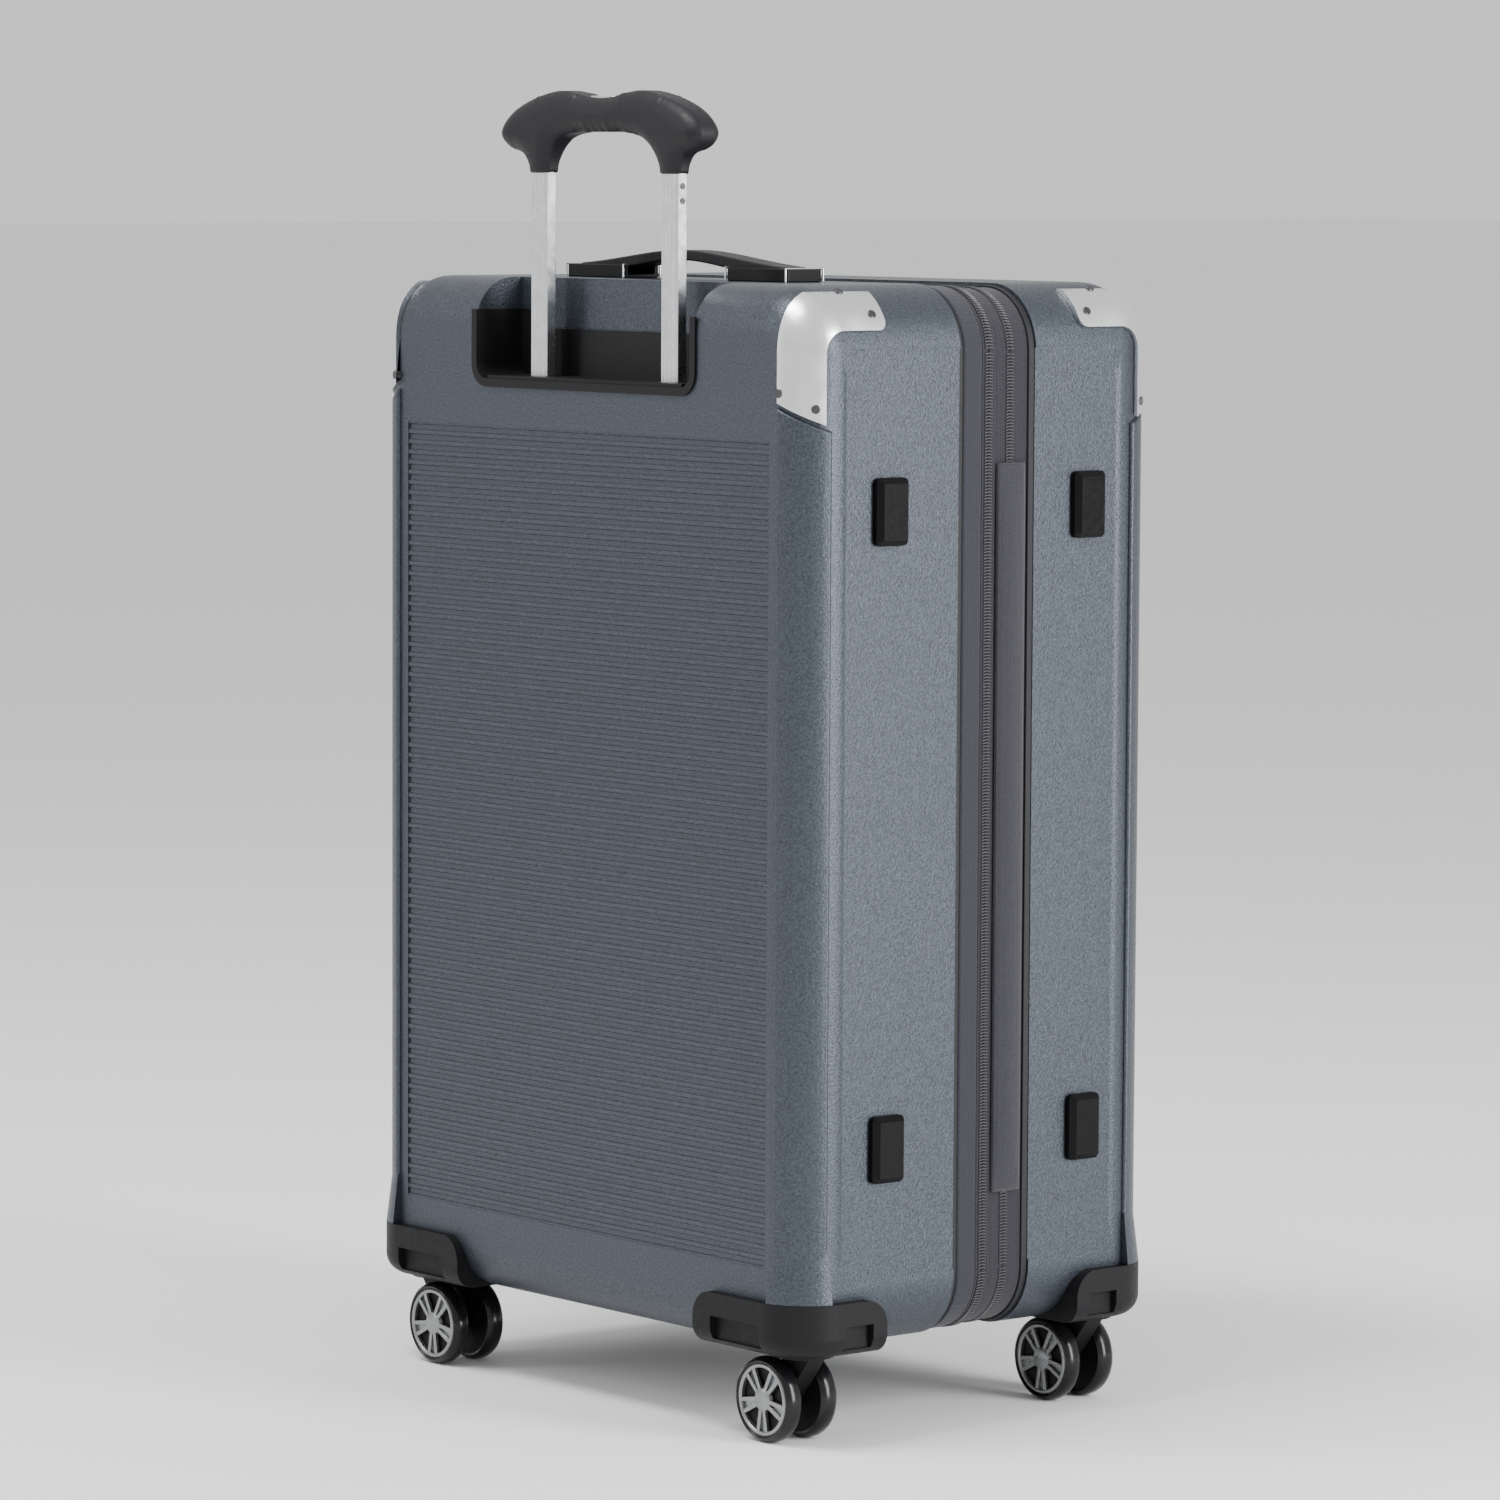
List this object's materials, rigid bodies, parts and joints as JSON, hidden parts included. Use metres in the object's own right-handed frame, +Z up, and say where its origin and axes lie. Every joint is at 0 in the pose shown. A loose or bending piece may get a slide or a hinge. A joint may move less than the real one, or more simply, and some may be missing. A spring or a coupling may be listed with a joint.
{
  "type": "hard-shell spinner suitcase",
  "caption": "Large hard-shell expandable spinner suitcase with a pull handle, hinged lid, carry handles, lock and swivel casters.",
  "frame": {"origin": "on the floor under the middle of the overall box, side handle included; the shells' middle is at x = -0.0059 and the tyres' lowest points at z = 0", "axes": "+Z up, +Y out of the back face with the pull handle, -Y out of the lid, -X hinge side with the side feet, +X lock side"},
  "size_m": [0.4948, 0.326, 0.898],
  "materials": {
    "shell": "satin pebbled polycarbonate",
    "lining": "woven polyester",
    "band_fabric": "woven nylon tape",
    "zipper": "coil zipper tape",
    "black_plastic": "satin moulded plastic",
    "housing_plastic": "satin moulded plastic",
    "guard_metal": "satin",
    "screw_metal": "dark plated",
    "tube_metal": "brushed anodised",
    "steel": "plain",
    "tyre": "smooth",
    "webbing": "woven webbing",
    "chrome": "polished"
  },
  "bodies": {
    "root": {"back_shell": "shell", "back_lining": "lining", "tie_down_straps": "webbing", "strap_buckles": "black_plastic", "back_rim_trim": "black_plastic", "back_band": "band_fabric", "expansion_zipper_back": "zipper", "handle_cup": "black_plastic", "handle_guide_tubes": "tube_metal", "handle_foot_bracket": "black_plastic", "carry_handle_mounts": "black_plastic", "back_corner_guards": "guard_metal", "back_guard_screws": "screw_metal", "back_side_feet": "black_plastic", "wheel_housing_back_left": "housing_plastic", "wheel_housing_back_right": "housing_plastic"},
    "handle_middle": {"handle_middle_tubes": "tube_metal"},
    "handle_inner": {"handle_inner_tubes": "tube_metal", "handle_grip": "black_plastic", "handle_grip_screws": "screw_metal"},
    "release_button": {"handle_button": "chrome"},
    "top_carry_handle": {"top_handle": "black_plastic"},
    "side_carry_handle": {"side_handle": "black_plastic"},
    "expander": {"expansion_gusset": "lining", "expansion_zipper_front": "zipper", "main_zipper_back": "zipper", "hinge_cover_back": "band_fabric"},
    "lid": {"front_shell": "shell", "front_lining": "lining", "front_rim_trim": "black_plastic", "main_zipper_front": "zipper", "hinge_cover_front": "band_fabric", "front_corner_guards": "guard_metal", "front_guard_screws": "screw_metal", "front_side_feet": "black_plastic", "wheel_housing_front_left": "housing_plastic", "wheel_housing_front_right": "housing_plastic", "lock_body": "black_plastic"},
    "dial_1": {"lock_dial_1": "screw_metal"},
    "dial_2": {"lock_dial_2": "screw_metal"},
    "dial_3": {"lock_dial_3": "screw_metal"},
    "lock_push": {"lock_button": "chrome"},
    "slider_upper": {"main_zipper_slider_upper": "screw_metal"},
    "slider_lower": {"main_zipper_slider_lower": "screw_metal"},
    "caster_back_left": {"caster_fork_back_left": "housing_plastic", "caster_axle_back_left": "steel"},
    "roller_back_left_outer": {"wheel_back_left_outer": "tyre"},
    "roller_back_left_inner": {"wheel_back_left_inner": "tyre"},
    "caster_back_right": {"caster_fork_back_right": "housing_plastic", "caster_axle_back_right": "steel"},
    "roller_back_right_outer": {"wheel_back_right_outer": "tyre"},
    "roller_back_right_inner": {"wheel_back_right_inner": "tyre"},
    "caster_front_left": {"caster_fork_front_left": "housing_plastic", "caster_axle_front_left": "steel"},
    "roller_front_left_outer": {"wheel_front_left_outer": "tyre"},
    "roller_front_left_inner": {"wheel_front_left_inner": "tyre"},
    "caster_front_right": {"caster_fork_front_right": "housing_plastic", "caster_axle_front_right": "steel"},
    "roller_front_right_outer": {"wheel_front_right_outer": "tyre"},
    "roller_front_right_inner": {"wheel_front_right_inner": "tyre"}
  },
  "joints": [
    {"name": "handle_first_stage", "type": "slide", "parent": "root", "child": "handle_middle", "axis": [0, 0, 1], "range_m": [0, 0.12]},
    {"name": "handle_second_stage", "type": "slide", "parent": "handle_middle", "child": "handle_inner", "axis": [0, 0, 1], "range_m": [-0.13, 0.06]},
    {"name": "handle_release", "type": "slide", "parent": "handle_inner", "child": "release_button", "axis": [0, 0, -1], "range_m": [0, 0.003], "stiffness_N_per_m": 400},
    {"name": "top_handle_lift", "type": "slide", "parent": "root", "child": "top_carry_handle", "axis": [0, 0, 1], "range_m": [0, 0.006]},
    {"name": "side_handle_lift", "type": "slide", "parent": "root", "child": "side_carry_handle", "axis": [1, 0, 0], "range_m": [0, 0.006]},
    {"name": "expansion", "type": "slide", "parent": "root", "child": "expander", "axis": [0, -1, 0], "range_m": [0, 0.05]},
    {"name": "lid_hinge", "type": "hinge", "parent": "expander", "child": "lid", "pos_m": [-0.2479, -0.025, 0], "axis": [0, 0, -1], "range_deg": [0, 180]},
    {"name": "lock_release", "type": "slide", "parent": "lid", "child": "lock_push", "axis": [-1, 0, 0], "range_m": [0, 0.0015], "stiffness_N_per_m": 400},
    {"name": "upper_slider_run", "type": "slide", "parent": "expander", "child": "slider_upper", "axis": [0, 0, 1], "range_m": [-0.05, 0.18]},
    {"name": "lower_slider_run", "type": "slide", "parent": "expander", "child": "slider_lower", "axis": [0, 0, 1], "range_m": [-0.18, 0.03]},
    {"name": "dial_1_turn", "type": "hinge", "parent": "lid", "child": "dial_1", "pos_m": [0.2256, -0.068, 0.418], "axis": [0, 0, 1], "continuous": true},
    {"name": "dial_2_turn", "type": "hinge", "parent": "lid", "child": "dial_2", "pos_m": [0.2256, -0.068, 0.4265], "axis": [0, 0, 1], "continuous": true},
    {"name": "dial_3_turn", "type": "hinge", "parent": "lid", "child": "dial_3", "pos_m": [0.2256, -0.068, 0.435], "axis": [0, 0, 1], "continuous": true},
    {"name": "swivel_back_left", "type": "hinge", "parent": "root", "child": "caster_back_left", "pos_m": [0.1971, 0.1245, 0.05], "axis": [0, 0, 1], "continuous": true},
    {"name": "roll_back_left_outer", "type": "hinge", "parent": "caster_back_left", "child": "roller_back_left_outer", "pos_m": [0.1781, 0.1395, 0.029], "axis": [0, 1, 0], "continuous": true},
    {"name": "roll_back_left_inner", "type": "hinge", "parent": "caster_back_left", "child": "roller_back_left_inner", "pos_m": [0.1781, 0.1095, 0.029], "axis": [0, 1, 0], "continuous": true},
    {"name": "swivel_back_right", "type": "hinge", "parent": "root", "child": "caster_back_right", "pos_m": [-0.2089, 0.1245, 0.05], "axis": [0, 0, 1], "continuous": true},
    {"name": "roll_back_right_outer", "type": "hinge", "parent": "caster_back_right", "child": "roller_back_right_outer", "pos_m": [-0.1899, 0.1395, 0.029], "axis": [0, 1, 0], "continuous": true},
    {"name": "roll_back_right_inner", "type": "hinge", "parent": "caster_back_right", "child": "roller_back_right_inner", "pos_m": [-0.1899, 0.1095, 0.029], "axis": [0, 1, 0], "continuous": true},
    {"name": "swivel_front_left", "type": "hinge", "parent": "lid", "child": "caster_front_left", "pos_m": [0.1971, -0.1245, 0.05], "axis": [0, 0, 1], "continuous": true},
    {"name": "roll_front_left_outer", "type": "hinge", "parent": "caster_front_left", "child": "roller_front_left_outer", "pos_m": [0.1781, -0.1395, 0.029], "axis": [0, 1, 0], "continuous": true},
    {"name": "roll_front_left_inner", "type": "hinge", "parent": "caster_front_left", "child": "roller_front_left_inner", "pos_m": [0.1781, -0.1095, 0.029], "axis": [0, 1, 0], "continuous": true},
    {"name": "swivel_front_right", "type": "hinge", "parent": "lid", "child": "caster_front_right", "pos_m": [-0.2089, -0.1245, 0.05], "axis": [0, 0, 1], "continuous": true},
    {"name": "roll_front_right_outer", "type": "hinge", "parent": "caster_front_right", "child": "roller_front_right_outer", "pos_m": [-0.1899, -0.1395, 0.029], "axis": [0, 1, 0], "continuous": true},
    {"name": "roll_front_right_inner", "type": "hinge", "parent": "caster_front_right", "child": "roller_front_right_inner", "pos_m": [-0.1899, -0.1095, 0.029], "axis": [0, 1, 0], "continuous": true}
  ]
}
